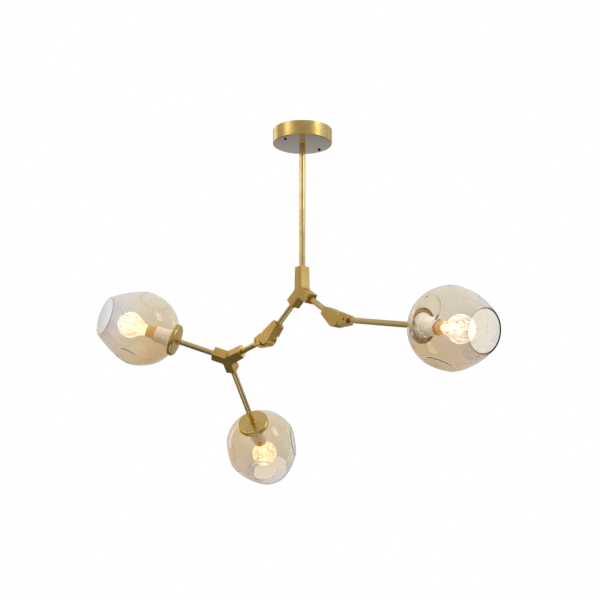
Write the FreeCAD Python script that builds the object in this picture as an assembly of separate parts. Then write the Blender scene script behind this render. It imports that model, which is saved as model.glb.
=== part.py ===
import FreeCAD, Part
import math
import os
from FreeCAD import Matrix, Placement, Vector

# Branch chandelier: a canopy, a down rod, two forked hubs, two half-lap knuckles
# and three lamps with dimpled open glass shades. Lengths in mm, angles in degrees.
# Z is up, and the origin is the centre of the canopy's rim on the ceiling.

# ---- canopy and what hangs it from the ceiling ----
canopy_diameter = 115.0
canopy_height = 29.0
canopy_wall = 1.2
canopy_edge_radius = 1.6
bracket_azimuth = 43.0
bracket_width = 18.0
bracket_thickness = 2.0
bracket_end_margin = 6.0
ceiling_hole_spacing = 60.0
ceiling_hole_diameter = 5.0
canopy_stud_spacing = 91.0
stud_diameter = 3.0
stud_end_clearance = 0.3
cap_nut_diameter = 5.6
cap_nut_height = 2.4
nipple_diameter = 9.9
nipple_insert = 16.0
nipple_above_nut = 3.0
lock_nut_width = 14.0
lock_nut_height = 4.5
washer_diameter = 22.0
washer_thickness = 1.2
terminal_block_length = 30.0
terminal_block_width = 13.0
terminal_block_height = 14.0
terminal_block_offset = 30.0
terminal_hole_diameter = 3.2
terminal_pitch = 9.0

# ---- rods ----
down_rod_diameter = 12.0
arm_rod_diameter = 11.0
rod_bore = 7.0
rod_chamfer = 0.5
lead_diameter = 6.0
socket_depth = 14.0
relief_ring = 1.3
relief_depth = 1.4

# ---- forked hubs ----
canopy_to_upper_hub = 298.0
hub_stem_length = 49.0
hub_leg_length = 33.0
hub_fork_angle = 107.3
hub_thickness = 21.0
hub_stem_end_width = 18.5
hub_stem_root_width = 21.5
hub_leg_width = 20.0
hub_crotch_radius = 4.0
casting_edge_radius = 0.7

# ---- knuckles ----
knuckle_radius = 15.5
knuckle_end_length = 37.0
knuckle_end_width = 16.0
knuckle_thickness = 20.0
pivot_diameter = 6.0
pivot_depth = 7.5
set_screw_diameter = 4.0
set_screw_length = 5.0
set_screw_from_pivot = 30.0

# ---- where the branches point ----
fork_azimuth = 131.1
upper_arm_length = 121.5
forearm_a_azimuth = 126.9
forearm_a_elevation = -7.2
forearm_a_length = 137.7
lower_hub_roll = -58.3
arm_e_length = 111.3
arm_f_length = 196.0
forearm_c_azimuth = -49.0
forearm_c_elevation = -13.7
forearm_c_length = 221.5

# ---- lamps ----
lamp_nut_diameter = 14.0
lamp_nut_height = 2.6
rod_into_cap = 7.0
cap_diameter = 65.0
cap_height = 9.0
cap_wall = 1.2
cap_edge_radius = 5.0
holder_diameter = 36.0
holder_length = 47.0
holder_neck_diameter = 33.0
holder_step_at = 24.0
holder_bore = 29.0
well_allowance = 0.5
flange_diameter = 44.0
flange_step = 3.0
flange_bevel = 1.0
collar_reach = 3.0
collar_depth = 20.0
ring_diameter = 46.0
ring_height = 9.0
ring_front_wall = 1.2
shade_diameter = 150.0
shade_length = 160.0
shade_widest_at = 85.0
shade_back_power = 2.10
shade_front_power = 1.35
shade_rear_radius = 30.5
shade_rear_at = 9.0
shade_mouth_diameter = 80.0
shade_wall = 2.4
dimple_count = 4
dimple_radius = 31.0
dimple_cutter_radius = 160.0
dimple_at = 84.0
left_dimple_turn = 15.0
bottom_dimple_turn = 80.0
right_dimple_turn = 75.0
bulb_base_diameter = 26.4
bulb_base_start = 24.0
bulb_base_end = 66.0
bulb_diameter = 52.0
bulb_tip_at = 129.0
bulb_wall = 0.9
filament_count = 4
filament_diameter = 1.8
filament_length = 30.0
filament_circle = 7.0

# ---- clearances ----
slip = 0.1
running_gap = 0.05
lap_gap = 0.2
face_gap = 0.25
seat_gap = 0.3
glass_gap = 0.4

UP = Vector(0, 0, 1)
CENTRE = Vector(0, 0, 0)


# ---------------------------------------------------------------- geometry helpers
def direction(azimuth, elevation):
    """Unit vector from an azimuth about Z and an elevation above the horizontal."""
    a, e = math.radians(azimuth), math.radians(elevation)
    return Vector(math.cos(e) * math.cos(a), math.cos(e) * math.sin(a), math.sin(e))


def frame(origin, z_axis, x_axis):
    """Placement whose Z is z_axis, with X as near x_axis as a right angle allows."""
    z = Vector(z_axis).normalize()
    x = Vector(x_axis) - z * z.dot(x_axis)
    x.normalize()
    y = z.cross(x)
    return Placement(Matrix(x.x, y.x, z.x, origin.x,
                            x.y, y.y, z.y, origin.y,
                            x.z, y.z, z.z, origin.z,
                            0, 0, 0, 1))


def any_side(axis):
    """A steady direction square to a slanted axis."""
    return axis.cross(UP)


def tube(outer, inner, start, end, chamfer=0.0):
    """Straight tube along Z from start to end; inner 0 makes a bar."""
    body = Part.makeCylinder(outer / 2, end - start, Vector(0, 0, start))
    if chamfer > 0:
        rims = [e for e in body.Edges if isinstance(e.Curve, Part.Circle)]
        body = body.makeChamfer(chamfer, rims)
    if inner > 0:
        body = body.cut(Part.makeCylinder(inner / 2, end - start + 2, Vector(0, 0, start - 1)))
    return body


def revolve(edges):
    """Solid of revolution about Z from edges that close a profile in the XZ plane."""
    wire = Part.Wire(Part.__sortEdges__(edges))
    return Part.Face(wire).revolve(CENTRE, UP, 360)


def revolve_polyline(points):
    """Solid of revolution from (radius, height) corners."""
    corners = [Vector(r, 0, z) for r, z in points]
    corners.append(corners[0])
    return Part.Face(Part.makePolygon(corners)).revolve(CENTRE, UP, 360)


def hexagon_bar(width, start, end):
    """Hexagonal bar along Z with the given width across flats."""
    radius = width / math.sqrt(3)
    corners = [Vector(radius * math.cos(math.radians(60 * i)),
                      radius * math.sin(math.radians(60 * i)), start) for i in range(7)]
    return Part.Face(Part.makePolygon(corners)).extrude(Vector(0, 0, end - start))


# ---------------------------------------------------------------- layout
class Layout:
    """Centres and directions of the branches, from the driving angles and lengths."""

    def __init__(self):
        drop = hub_fork_angle / 2 - 90
        self.upper_hub = Vector(0, 0, -canopy_height - canopy_to_upper_hub)
        self.arm_a = direction(fork_azimuth, drop)
        self.arm_b = direction(fork_azimuth + 180, drop)
        self.fork_normal = self.arm_b.cross(self.arm_a).normalize()
        self.knuckle_a = self.upper_hub + self.arm_a * upper_arm_length
        self.knuckle_b = self.upper_hub + self.arm_b * upper_arm_length
        self.forearm_a = direction(forearm_a_azimuth, forearm_a_elevation)
        self.forearm_c = direction(forearm_c_azimuth, forearm_c_elevation)
        self.hinge_a = self.forearm_a.cross(self.arm_a).normalize()
        self.hinge_b = self.arm_b.cross(self.forearm_c).normalize()
        self.lower_hub = self.knuckle_a + self.forearm_a * forearm_a_length
        side = self.forearm_a.cross(UP).normalize()
        raised = side.cross(self.forearm_a)
        roll = math.radians(lower_hub_roll)
        spread = side * math.sin(roll) + raised * math.cos(roll)
        half = math.radians(hub_fork_angle / 2)
        self.arm_e = self.forearm_a * math.cos(half) + spread * math.sin(half)
        self.arm_f = self.forearm_a * math.cos(half) - spread * math.sin(half)
        self.lamps = {
            "left": (self.lower_hub + self.arm_e * arm_e_length, self.arm_e, left_dimple_turn),
            "bottom": (self.lower_hub + self.arm_f * arm_f_length, self.arm_f, bottom_dimple_turn),
            "right": (self.knuckle_b + self.forearm_c * forearm_c_length, self.forearm_c,
                      right_dimple_turn),
        }


# ---------------------------------------------------------------- canopy group
def canopy():
    """Shallow cup, open to the ceiling, with a rod hole and two stud holes in its face."""
    outer = Part.makeCylinder(canopy_diameter / 2, canopy_height, Vector(0, 0, -canopy_height))
    low_rim = [e for e in outer.Edges
               if isinstance(e.Curve, Part.Circle) and e.Curve.Center.z < -canopy_height / 2]
    outer = outer.makeFillet(canopy_edge_radius, low_rim)
    hollow = Part.makeCylinder(canopy_diameter / 2 - canopy_wall, canopy_height,
                               Vector(0, 0, canopy_wall - canopy_height))
    rod_hole = Part.makeCylinder(nipple_diameter / 2 + slip, canopy_height,
                                 Vector(0, 0, -canopy_height - 1))
    shell = outer.cut(hollow).cut(rod_hole)
    for spot in stud_spots():
        shell = shell.cut(Part.makeCylinder(stud_diameter / 2 + slip, canopy_height,
                                            spot + Vector(0, 0, -canopy_height - 1)))
    return shell


def stud_spots():
    """Where the two studs stand, on the ceiling plane."""
    along = direction(bracket_azimuth, 0)
    return [along * (canopy_stud_spacing / 2), along * (-canopy_stud_spacing / 2)]


def ceiling_bracket():
    """Flat bar with rounded ends: two ceiling holes, and two stud holes outside them."""
    reach = canopy_stud_spacing / 2 + bracket_end_margin
    half = bracket_width / 2
    straight = reach - half
    bar = Part.makeBox(2 * straight, bracket_width, bracket_thickness,
                       Vector(-straight, -half, -bracket_thickness))
    for end in (-straight, straight):
        bar = bar.fuse(Part.makeCylinder(half, bracket_thickness, Vector(end, 0, -bracket_thickness)))
    bar = bar.removeSplitter()
    for x in (-ceiling_hole_spacing / 2, ceiling_hole_spacing / 2):
        bar = bar.cut(Part.makeCylinder(ceiling_hole_diameter / 2, bracket_thickness + 2,
                                        Vector(x, 0, -bracket_thickness - 1)))
    for x in (-canopy_stud_spacing / 2, canopy_stud_spacing / 2):
        bar = bar.cut(Part.makeCylinder(stud_diameter / 2 + running_gap, bracket_thickness + 2,
                                        Vector(x, 0, -bracket_thickness - 1)))
    bar.Placement = frame(CENTRE, UP, direction(bracket_azimuth, 0))
    return bar


def canopy_studs():
    """Two studs from the bracket down through the canopy's face."""
    low = -canopy_height - cap_nut_height / 2
    return Part.makeCompound([
        Part.makeCylinder(stud_diameter / 2, -stud_end_clearance - low, spot + Vector(0, 0, low))
        for spot in stud_spots()])


def canopy_cap_nuts():
    """Two small domed nuts that hold the canopy up on its studs."""
    radius = cap_nut_diameter / 2
    nuts = []
    for spot in stud_spots():
        body = Part.makeCylinder(radius, cap_nut_height)
        rim = [e for e in body.Edges
               if isinstance(e.Curve, Part.Circle) and e.Curve.Center.z < cap_nut_height / 2]
        body = body.makeFillet(radius * 0.45, rim)
        hole = Part.makeCylinder(stud_diameter / 2 + running_gap, cap_nut_height / 2 + slip,
                                 Vector(0, 0, cap_nut_height / 2 - slip))
        body = body.cut(hole)
        body.translate(spot + Vector(0, 0, -canopy_height - cap_nut_height))
        nuts.append(body)
    return Part.makeCompound(nuts)


def nipple_top():
    """Height of the nipple's upper end, inside the canopy."""
    return -canopy_height + canopy_wall + washer_thickness + lock_nut_height + nipple_above_nut


def swivel_nipple():
    """Hollow threaded tube that carries the down rod and lets it turn."""
    return tube(nipple_diameter, rod_bore, -canopy_height - nipple_insert, nipple_top(), rod_chamfer)


def nipple_washer():
    """Plain washer on the canopy's inner face."""
    floor = -canopy_height + canopy_wall
    return tube(washer_diameter, nipple_diameter + 2 * slip, floor, floor + washer_thickness)


def nipple_lock_nut():
    """Hexagon nut that clamps the nipple to the canopy."""
    start = -canopy_height + canopy_wall + washer_thickness
    nut = hexagon_bar(lock_nut_width, start, start + lock_nut_height)
    return nut.cut(Part.makeCylinder(nipple_diameter / 2 + slip, lock_nut_height + 2,
                                     Vector(0, 0, start - 1)))


def terminal_block():
    """Three-way terminal block on the canopy's inner face, beside the nipple."""
    floor = -canopy_height + canopy_wall
    block = Part.makeBox(terminal_block_length, terminal_block_width, terminal_block_height,
                         Vector(-terminal_block_length / 2, -terminal_block_width / 2, 0))
    block = block.makeFillet(1.0, [e for e in block.Edges if abs(e.tangentAt(e.FirstParameter).z) > 0.9])
    for i in (-1, 0, 1):
        block = block.cut(Part.makeCylinder(
            terminal_hole_diameter / 2, terminal_block_width + 2,
            Vector(i * terminal_pitch, -terminal_block_width / 2 - 1, terminal_block_height * 0.4),
            Vector(0, 1, 0)))
    across = direction(bracket_azimuth + 90, 0)
    block.Placement = frame(across * terminal_block_offset + Vector(0, 0, floor), UP,
                            direction(bracket_azimuth, 0))
    return block


# ---------------------------------------------------------------- rods
def down_rod(layout):
    """Straight tube from the canopy's face into the upper hub's stem."""
    top = -canopy_height - face_gap
    end = layout.upper_hub.z + hub_stem_length - socket_depth
    rod = tube(down_rod_diameter, rod_bore, end, top, rod_chamfer)
    mouth = Part.makeCylinder(nipple_diameter / 2 + running_gap, nipple_insert + 1,
                              Vector(0, 0, top - nipple_insert))
    return rod.cut(mouth)


def slanted_tube(origin, axis, start, end, diameter, bore):
    """Tube on a slanted axis, from start to end along it."""
    chamfer = rod_chamfer if bore else 0.0
    body = tube(diameter, bore, start, end, chamfer)
    body.Placement = frame(origin, axis, any_side(axis))
    return body


def rod_spans(layout):
    """Each arm rod's origin, direction, and where it starts and ends along it."""
    leg = hub_leg_length - socket_depth
    stem = hub_stem_length - socket_depth
    lug = knuckle_end_length - socket_depth
    return {
        "arm_rod_a": (layout.upper_hub, layout.arm_a, leg, upper_arm_length - lug),
        "arm_rod_b": (layout.upper_hub, layout.arm_b, leg, upper_arm_length - lug),
        "forearm_rod_c": (layout.knuckle_b, layout.forearm_c, lug, forearm_c_length + rod_into_cap),
        "forearm_rod_d": (layout.knuckle_a, layout.forearm_a, lug, forearm_a_length - stem),
        "lamp_rod_e": (layout.lower_hub, layout.arm_e, leg, arm_e_length + rod_into_cap),
        "lamp_rod_f": (layout.lower_hub, layout.arm_f, leg, arm_f_length + rod_into_cap),
    }


# ---------------------------------------------------------------- forked hubs
def fork_outline():
    """Y outline in the XY plane: stem along +Y, legs either side of -Y, rounded crotches."""
    half_fork = math.radians(hub_fork_angle / 2)
    stem = (math.pi / 2, hub_stem_length, hub_stem_root_width / 2, hub_stem_end_width / 2)
    left = (-math.pi / 2 - half_fork, hub_leg_length, hub_leg_width / 2, hub_leg_width / 2)
    right = (-math.pi / 2 + half_fork, hub_leg_length, hub_leg_width / 2, hub_leg_width / 2)
    sides = []
    for angle, reach, root, end in (stem, left, right):
        along = Vector(math.cos(angle), math.sin(angle), 0)
        left_hand = Vector(-along.y, along.x, 0)
        sides.append([
            (left_hand * root, along * reach + left_hand * end),
            (left_hand * -root, along * reach - left_hand * end)])
    edges = []
    count = len(sides)
    starts, ends = [None] * count, [None] * count
    for i in range(count):
        # the left side of one arm meets the right side of the next, anticlockwise
        a0, a1 = sides[i][0]
        b0, b1 = sides[(i + 1) % count][1]
        corner = meeting_point(a0, a1, b0, b1)
        arc, tangent_a, tangent_b = corner_arc(corner, a1, b1, hub_crotch_radius)
        edges.append(Part.LineSegment(a1, tangent_a).toShape())
        edges.append(arc)
        edges.append(Part.LineSegment(tangent_b, b1).toShape())
        ends[i] = a1
        starts[(i + 1) % count] = b1
    for i in range(count):
        edges.append(Part.LineSegment(starts[i], ends[i]).toShape())
    return Part.Face(Part.Wire(Part.__sortEdges__(edges)))


def meeting_point(a0, a1, b0, b1):
    """Where the line a0-a1 meets the line b0-b1 in the XY plane."""
    u, v, w = a1 - a0, b1 - b0, b0 - a0
    t = (w.x * v.y - w.y * v.x) / (u.x * v.y - u.y * v.x)
    return a0 + u * t


def corner_arc(corner, p, q, radius):
    """Arc of the given radius that rounds the corner between p and q."""
    u, v = (p - corner).normalize(), (q - corner).normalize()
    half = u.getAngle(v) / 2
    tangent = radius / math.tan(half)
    middle = (u + v).normalize() * (radius / math.sin(half) - radius)
    arc = Part.Arc(corner + u * tangent, corner + middle, corner + v * tangent).toShape()
    return arc, corner + u * tangent, corner + v * tangent


def forked_hub(stem_rod_diameter):
    """Cast fork with a socket in each square arm and a wire way through its middle."""
    half_fork = math.radians(hub_fork_angle / 2)
    body = fork_outline().extrude(Vector(0, 0, hub_thickness))
    body.translate(Vector(0, 0, -hub_thickness / 2))
    body = body.makeFillet(casting_edge_radius, body.Edges)
    arms = [(Vector(0, 1, 0), hub_stem_length, stem_rod_diameter)]
    for sign in (-1, 1):
        angle = -math.pi / 2 + sign * half_fork
        arms.append((Vector(math.cos(angle), math.sin(angle), 0), hub_leg_length, arm_rod_diameter))
    for along, reach, rod in arms:
        body = body.cut(Part.makeCylinder(rod_bore / 2, reach, CENTRE, along))
        body = cut_socket(body, along * reach, along, rod)
    return body


def cut_socket(body, mouth, outward, rod):
    """Cut a rod's socket, with a wider relief ring at its mouth."""
    hole = Part.makeCylinder(rod / 2 + running_gap, socket_depth + 1 + slip,
                             mouth + outward, outward * -1)
    ring = Part.makeCylinder(rod / 2 + relief_ring, relief_depth + 1, mouth + outward, outward * -1)
    return body.cut(hole).cut(ring)


def placed_hub(centre, stem_direction, leg_direction, stem_rod_diameter):
    """Hub with its stem along stem_direction and one leg on leg_direction's side."""
    normal = leg_direction.cross(stem_direction).normalize()
    body = forked_hub(stem_rod_diameter)
    across = stem_direction.cross(normal)
    body.Placement = frame(centre, normal, across)
    return body


# ---------------------------------------------------------------- knuckles
def lug_outline():
    """Teardrop: square end at -X, sides tangent to the round end about the pivot."""
    half = knuckle_end_width / 2
    corner = Vector(-knuckle_end_length, half, 0)
    reach = corner.Length
    to_corner = math.atan2(half, -knuckle_end_length)
    swing = math.acos(knuckle_radius / reach)
    tangent_angle = to_corner - swing
    touch = Vector(knuckle_radius * math.cos(tangent_angle), knuckle_radius * math.sin(tangent_angle), 0)
    mirror_corner = Vector(corner.x, -corner.y, 0)
    mirror_touch = Vector(touch.x, -touch.y, 0)
    edges = [
        Part.LineSegment(mirror_corner, corner).toShape(),
        Part.LineSegment(corner, touch).toShape(),
        Part.Arc(touch, Vector(knuckle_radius, 0, 0), mirror_touch).toShape(),
        Part.LineSegment(mirror_touch, mirror_corner).toShape()]
    return Part.Face(Part.Wire(edges))


def knuckle_half(keep, pin_gap):
    """Half-lap lug: full thickness at the rod, half of it (keep +1 or -1) at the pivot."""
    body = lug_outline().extrude(Vector(0, 0, knuckle_thickness))
    body.translate(Vector(0, 0, -knuckle_thickness / 2))
    body = body.makeFillet(casting_edge_radius, body.Edges)
    shoulder = knuckle_radius + seat_gap
    low = -knuckle_thickness if keep > 0 else -lap_gap / 2
    lap = Part.makeBox(3 * knuckle_radius, 4 * knuckle_radius, knuckle_thickness + lap_gap / 2,
                       Vector(-shoulder, -2 * knuckle_radius, low))
    body = body.cut(lap)
    start = min(0, keep * (pivot_depth + seat_gap))
    body = body.cut(Part.makeCylinder(pivot_diameter / 2 + pin_gap, pivot_depth + seat_gap,
                                      Vector(0, 0, start)))
    mouth = Vector(-knuckle_end_length, 0, 0)
    return cut_socket(body, mouth, Vector(-1, 0, 0), arm_rod_diameter)


def knuckle_inner(pivot, arm, hinge):
    """Lug on the upper arm's rod; it keeps the half that faces along the hinge axis."""
    body = knuckle_half(1, running_gap)
    body.Placement = frame(pivot, hinge, arm)
    return body


def knuckle_outer(pivot, forearm, hinge):
    """Lug on the forearm's rod, with a hole for its set screw."""
    body = knuckle_half(-1, running_gap / 2)
    hole = Part.makeCylinder(set_screw_diameter / 2 + running_gap, knuckle_thickness,
                             Vector(-set_screw_from_pivot, 0, 0))
    body = body.cut(hole)
    body.Placement = frame(pivot, hinge, forearm * -1)
    return body


def knuckle_pin(pivot, hinge, arm):
    """Plain pin on which the two lugs turn, hidden between them."""
    pin = tube(pivot_diameter, 0, -pivot_depth, pivot_depth, rod_chamfer)
    pin.Placement = frame(pivot, hinge, arm)
    return pin


def set_screw(pivot, forearm, hinge):
    """Slotted grub screw that bears on the forearm's rod."""
    start = arm_rod_diameter / 2 + slip
    top = start + set_screw_length - 2 * seat_gap
    screw = tube(set_screw_diameter, 0, start, top, 0.3)
    slot = Part.makeBox(set_screw_diameter * 2, 0.8, 1.2,
                        Vector(-set_screw_diameter, -0.4, top - 1.0))
    screw = screw.cut(slot)
    screw.translate(Vector(-set_screw_from_pivot, 0, 0))
    screw.Placement = frame(pivot, hinge, forearm * -1).multiply(screw.Placement)
    return screw


# ---------------------------------------------------------------- lamps
def shade_radius(along):
    """Outer radius of the blown shade at a distance along its axis from the cap's back."""
    radius = shade_diameter / 2
    if along < shade_widest_at:
        power, edge_radius, edge_at = shade_back_power, shade_rear_radius, shade_rear_at
    else:
        power, edge_radius, edge_at = shade_front_power, shade_mouth_diameter / 2, shade_length
    reach = abs(edge_at - shade_widest_at) / (1 - (edge_radius / radius) ** power) ** (1 / power)
    share = abs(along - shade_widest_at) / reach
    return radius * (1 - share ** power) ** (1 / power)


def shade_rear(radius):
    """Distance along the axis at which the shade's back has this radius."""
    full = shade_diameter / 2
    reach = ((shade_widest_at - shade_rear_at)
             / (1 - (shade_rear_radius / full) ** shade_back_power) ** (1 / shade_back_power))
    return shade_widest_at - reach * (1 - (radius / full) ** shade_back_power) ** (1 / shade_back_power)


def shade_profile(offset):
    """Spline pair for the shade's profile, moved inward by offset, from neck to mouth."""
    neck = holder_diameter / 2 + glass_gap
    back = [Vector(neck, 0, shade_rear(neck))]
    for radius in (neck + 12, neck + 24, neck + 36):
        back.append(Vector(radius, 0, shade_rear(radius)))
    for i in range(1, 4):
        along = shade_rear(neck + 36) + (shade_widest_at - shade_rear(neck + 36)) * i / 3
        back.append(Vector(shade_radius(along), 0, along))
    front = [back[-1]]
    steps = 5
    for i in range(1, steps + 1):
        along = shade_widest_at + (shade_length - shade_widest_at) * i / steps
        front.append(Vector(shade_radius(along), 0, along))
    points = back + front[1:]
    moved = []
    for i, point in enumerate(points):
        before, after = points[max(i - 1, 0)], points[min(i + 1, len(points) - 1)]
        run = (after - before).normalize()
        inward = Vector(-run.z, 0, run.x)
        moved.append(point + inward * offset)
    moved[0].x = neck
    moved[-1].z = shade_length
    curve = Part.BSplineCurve()
    curve.interpolate(moved)
    return curve.toShape(), moved[0], moved[-1]


def shade_body(offset):
    """Closed solid inside the shade's outer surface, moved inward by offset."""
    curve, neck, mouth = shade_profile(offset)
    edges = [
        curve,
        Part.LineSegment(mouth, Vector(0, 0, mouth.z)).toShape(),
        Part.LineSegment(Vector(0, 0, mouth.z), Vector(0, 0, neck.z)).toShape(),
        Part.LineSegment(Vector(0, 0, neck.z), neck).toShape()]
    return revolve(edges)


def dimple_cutters(grow):
    """Balls that press the dimples into the blown glass; grow keeps the wall even."""
    radius = shade_radius(dimple_at)
    depth_in_glass = radius - math.sqrt(radius ** 2 - dimple_radius ** 2)
    depth_of_ball = dimple_cutter_radius - math.sqrt(dimple_cutter_radius ** 2 - dimple_radius ** 2)
    centre_out = radius - depth_in_glass - depth_of_ball + dimple_cutter_radius
    balls = []
    for i in range(dimple_count):
        angle = math.radians(360 * i / dimple_count)
        centre = Vector(centre_out * math.cos(angle), centre_out * math.sin(angle), dimple_at)
        balls.append(Part.makeSphere(dimple_cutter_radius + grow, centre,
                                     Vector(math.cos(angle), math.sin(angle), 0)))
    return balls


def glass_shade():
    """Blown shade with pressed dimples, a neck hole at the cap and an open mouth."""
    outer = shade_body(0.0)
    inner = shade_body(shade_wall)
    for ball in dimple_cutters(0.0):
        outer = outer.cut(ball)
    for ball in dimple_cutters(shade_wall):
        inner = inner.cut(ball)
    neck = holder_diameter / 2 + glass_gap
    bore = Part.makeCylinder(neck, 40, Vector(0, 0, -10))
    return outer.cut(inner).cut(bore)


def lamp_nut():
    """Round nut where the rod enters the cap's back."""
    outer, inner = lamp_nut_diameter / 2, arm_rod_diameter / 2 + slip
    return revolve_polyline([(inner, -lamp_nut_height), (outer - 0.8, -lamp_nut_height),
                             (outer, -lamp_nut_height + 0.8), (outer, 0), (inner, 0)])


def lamp_cap():
    """Spun cup with a flat back, a rounded shoulder and an open front."""
    outer, inner = cap_diameter / 2, cap_diameter / 2 - cap_wall
    hole = arm_rod_diameter / 2 + slip
    round_out, round_in = cap_edge_radius, cap_edge_radius - cap_wall
    diagonal = math.sqrt(0.5)
    centre = Vector(outer - round_out, 0, round_out)
    edges = [
        Part.LineSegment(Vector(hole, 0, 0), Vector(outer - round_out, 0, 0)).toShape(),
        Part.Arc(Vector(outer - round_out, 0, 0),
                 centre + Vector(round_out * diagonal, 0, -round_out * diagonal),
                 Vector(outer, 0, round_out)).toShape(),
        Part.LineSegment(Vector(outer, 0, round_out), Vector(outer, 0, cap_height)).toShape(),
        Part.LineSegment(Vector(outer, 0, cap_height), Vector(inner, 0, cap_height)).toShape(),
        Part.LineSegment(Vector(inner, 0, cap_height), Vector(inner, 0, round_out)).toShape(),
        Part.Arc(Vector(inner, 0, round_out),
                 centre + Vector(round_in * diagonal, 0, -round_in * diagonal),
                 Vector(outer - round_out, 0, cap_wall)).toShape(),
        Part.LineSegment(Vector(outer - round_out, 0, cap_wall), Vector(hole, 0, cap_wall)).toShape(),
        Part.LineSegment(Vector(hole, 0, cap_wall), Vector(hole, 0, 0)).toShape()]
    return revolve(edges)


def flange_top():
    """Height of the holder's flange, on which the glass sits."""
    return shade_rear(holder_diameter / 2 + glass_gap) - seat_gap


def lampholder():
    """Lampholder: flange behind the glass, threaded barrel, and a well for the bulb."""
    outer, neck, well = holder_diameter / 2, holder_neck_diameter / 2, holder_bore / 2
    hole = arm_rod_diameter / 2 + slip
    flange = flange_diameter / 2
    top = flange_top()
    floor = bulb_base_start - well_allowance
    return revolve_polyline([
        (hole, cap_wall), (flange - flange_step, cap_wall),
        (flange - flange_step, top - flange_bevel), (outer, top),
        (outer, holder_step_at), (neck, holder_step_at + 1.0),
        (neck, holder_length - 0.8), (neck - 0.8, holder_length), (well, holder_length),
        (well, floor), (hole, floor)])


def holder_collar():
    """Screw shell lining the holder's well and standing out of its mouth."""
    outer = holder_bore / 2 - slip
    inner = bulb_base_diameter / 2 + seat_gap
    start, end = holder_length - collar_depth, holder_length + collar_reach
    return revolve_polyline([
        (inner, start), (outer, start), (outer, end - 0.8), (outer - 0.8, end), (inner, end)])


def shade_ring():
    """Ring screwed on the holder's barrel, clamping the glass from inside."""
    inner, outer = holder_diameter / 2 + slip, ring_diameter / 2
    start, end = ring_start(), ring_start() + ring_height
    lean = (shade_rear(outer) - shade_rear(inner)) * 0.9
    return revolve_polyline([
        (inner, start - lean), (outer, start), (outer, start + ring_height / 3),
        (inner + ring_front_wall, end), (inner, end)])


def ring_start():
    """Where the ring meets the glass's inner face."""
    return shade_rear(ring_diameter / 2) + shade_wall + seat_gap


def bulb_base():
    """Screw base with its thread, insulating end and centre contact."""
    radius = bulb_base_diameter / 2
    start, end = bulb_base_start, bulb_base_end
    thread_start, pitch, turns = start + 6.0, 3.6, 5
    points = [(0.01, start), (4.5, start), (5.0, start + 1.5), (9.5, start + 4.0), (radius - 1.2, start + 5.5)]
    for i in range(turns):
        low = thread_start + i * pitch
        points += [(radius - 1.2, low), (radius, low + pitch * 0.35), (radius, low + pitch * 0.65)]
    points += [(radius - 1.2, thread_start + turns * pitch), (radius - 0.4, end - 8.0), (radius - 0.4, end),
               (0.01, end)]
    return revolve_polyline(points)


def bulb_curve(offset):
    """Bulb profile from neck to tip, moved inward by offset."""
    radius = bulb_diameter / 2 - offset
    neck = bulb_base_diameter / 2 - 1.4 - offset
    tip = bulb_tip_at - offset
    centre = bulb_tip_at - bulb_diameter / 2
    shoulder = Vector(radius * math.cos(math.radians(-30)), 0, centre + radius * math.sin(math.radians(-30)))
    arc = Part.Arc(shoulder, Vector(radius * math.cos(math.radians(20)), 0,
                                    centre + radius * math.sin(math.radians(20))),
                   Vector(0, 0, tip)).toShape()
    neck_point = Vector(neck, 0, bulb_base_end)
    flank = Part.BezierCurve()
    pull = (centre - bulb_base_end) * 0.35
    lean = Vector(-math.sin(math.radians(30)), 0, -math.cos(math.radians(30)))
    flank.setPoles([neck_point, neck_point + Vector(0, 0, pull * 0.8), shoulder + lean * pull, shoulder])
    return flank.toShape(), arc, neck_point, Vector(0, 0, tip)


def bulb_glass():
    """Clear envelope of a small globe bulb, open where it seats on the base."""
    flank, arc, neck, tip = bulb_curve(0.0)
    flank_in, arc_in, neck_in, tip_in = bulb_curve(bulb_wall)
    edges = [flank, arc, Part.LineSegment(tip, tip_in).toShape(), arc_in, flank_in,
             Part.LineSegment(neck_in, neck).toShape()]
    return revolve(edges)


def filament():
    """Glass stem on the base with upright filament sticks between two support rings."""
    low, top = bulb_base_end, bulb_base_end + 12.0
    stem = revolve_polyline([(0.01, low), (7.0, low), (4.0, low + 6.0), (2.2, top),
                             (1.2, top + filament_length + 2.0), (0.01, top + filament_length + 2.0)])
    body = stem
    for height in (top - 1.0, top + filament_length - 0.5):
        body = body.fuse(Part.makeCylinder(filament_circle + 0.4, 0.9, Vector(0, 0, height)).cut(
            Part.makeCylinder(filament_circle - 1.0, 3, Vector(0, 0, height - 1))))
        for i in range(filament_count):
            angle = 360.0 * i / filament_count
            spoke = Part.makeBox(filament_circle, 0.9, 0.9, Vector(0, -0.45, height))
            spoke.rotate(CENTRE, UP, angle)
            body = body.fuse(spoke)
    for i in range(filament_count):
        angle = math.radians(360.0 * i / filament_count)
        body = body.fuse(Part.makeCylinder(
            filament_diameter / 2, filament_length,
            Vector(filament_circle * math.cos(angle), filament_circle * math.sin(angle), top - 0.5)))
    return body.removeSplitter()


LAMP_PIECES = {
    "lamp_nut": lamp_nut,
    "lamp_cap": lamp_cap,
    "lampholder": lampholder,
    "holder_collar": holder_collar,
    "shade_ring": shade_ring,
    "glass_shade": glass_shade,
    "bulb_base": bulb_base,
    "bulb_glass": bulb_glass,
    "filament": filament,
}


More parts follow.
